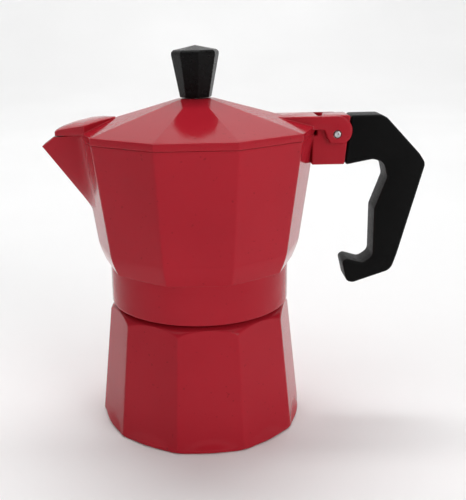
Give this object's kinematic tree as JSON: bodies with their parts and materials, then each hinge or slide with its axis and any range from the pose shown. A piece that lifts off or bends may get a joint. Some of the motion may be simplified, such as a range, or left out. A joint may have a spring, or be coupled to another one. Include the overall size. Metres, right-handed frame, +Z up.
{
  "type": "moka pot",
  "caption": "Faceted stovetop coffee maker with a screw-on collector, lift-out funnel, filter, safety valve, hinged lid with knob, pouring spout and angular side handle.",
  "frame": {"origin": "centre of the boiler's flat underside, on the axis of the screw thread", "axes": "+Z up along the thread axis, -X towards the pouring spout, +X towards the handle, +Y to the rear where the safety valve is"},
  "size_m": [0.1559, 0.0936, 0.1572],
  "materials": {
    "red_paint": "gloss",
    "handle_plastic": "satin",
    "knob_plastic": "satin",
    "bare_aluminium": "satin",
    "plain_steel": "polished",
    "valve_brass": "satin",
    "gasket_rubber": "matte"
  },
  "bodies": {
    "base": {"boiler": "red_paint", "valve_body": "valve_brass", "valve_retainer": "valve_brass", "valve_spring": "plain_steel"},
    "valve": {"valve_plunger": "plain_steel"},
    "funnel": {"funnel_basket": "bare_aluminium", "funnel_tube": "bare_aluminium", "funnel_strainer": "bare_aluminium"},
    "seal": {"gasket": "gasket_rubber"},
    "filter": {"filter_plate": "bare_aluminium"},
    "top": {"collector": "red_paint", "coffee_column": "bare_aluminium", "column_cap": "bare_aluminium", "hinge_pin": "plain_steel", "handle": "handle_plastic", "handle_screw": "plain_steel"},
    "lid": {"lid": "red_paint", "knob": "knob_plastic", "knob_insert": "valve_brass", "knob_washer": "plain_steel", "knob_screw": "plain_steel"}
  },
  "joints": [
    {"name": "valve_lift", "type": "slide", "parent": "base", "child": "valve", "axis": [-0.0854, 0.9963, 0], "range_m": [0, 0.001], "stiffness_N_per_m": 400, "springref_m": -0.003, "deforming": ["valve_spring"]},
    {"name": "lift_off", "type": "slide", "parent": "base", "child": "seal", "axis": [0, 0, 1], "range_m": [0, 0.12]},
    {"name": "funnel_lift", "type": "slide", "parent": "base", "child": "funnel", "axis": [0, 0, 1], "range_m": [0, 0.06]},
    {"name": "thread_rise", "type": "slide", "parent": "seal", "child": "filter", "axis": [0, 0, 1], "range_m": [0, 0.0046]},
    {"name": "unscrew", "type": "hinge", "parent": "filter", "child": "top", "pos_m": [0, 0, 0.0525], "axis": [0, 0, 1], "range_deg": [0, 540]},
    {"name": "lid_hinge", "type": "hinge", "parent": "top", "child": "lid", "pos_m": [0.056, 0, 0.1216], "axis": [0, 1, 0], "range_deg": [0, 90]}
  ],
  "couplings": [
    {"joint": "funnel_lift", "follows": "lift_off", "ratio": 0.5},
    {"joint": "thread_rise", "follows": "unscrew", "m_per_rad": 0.00047746}
  ]
}
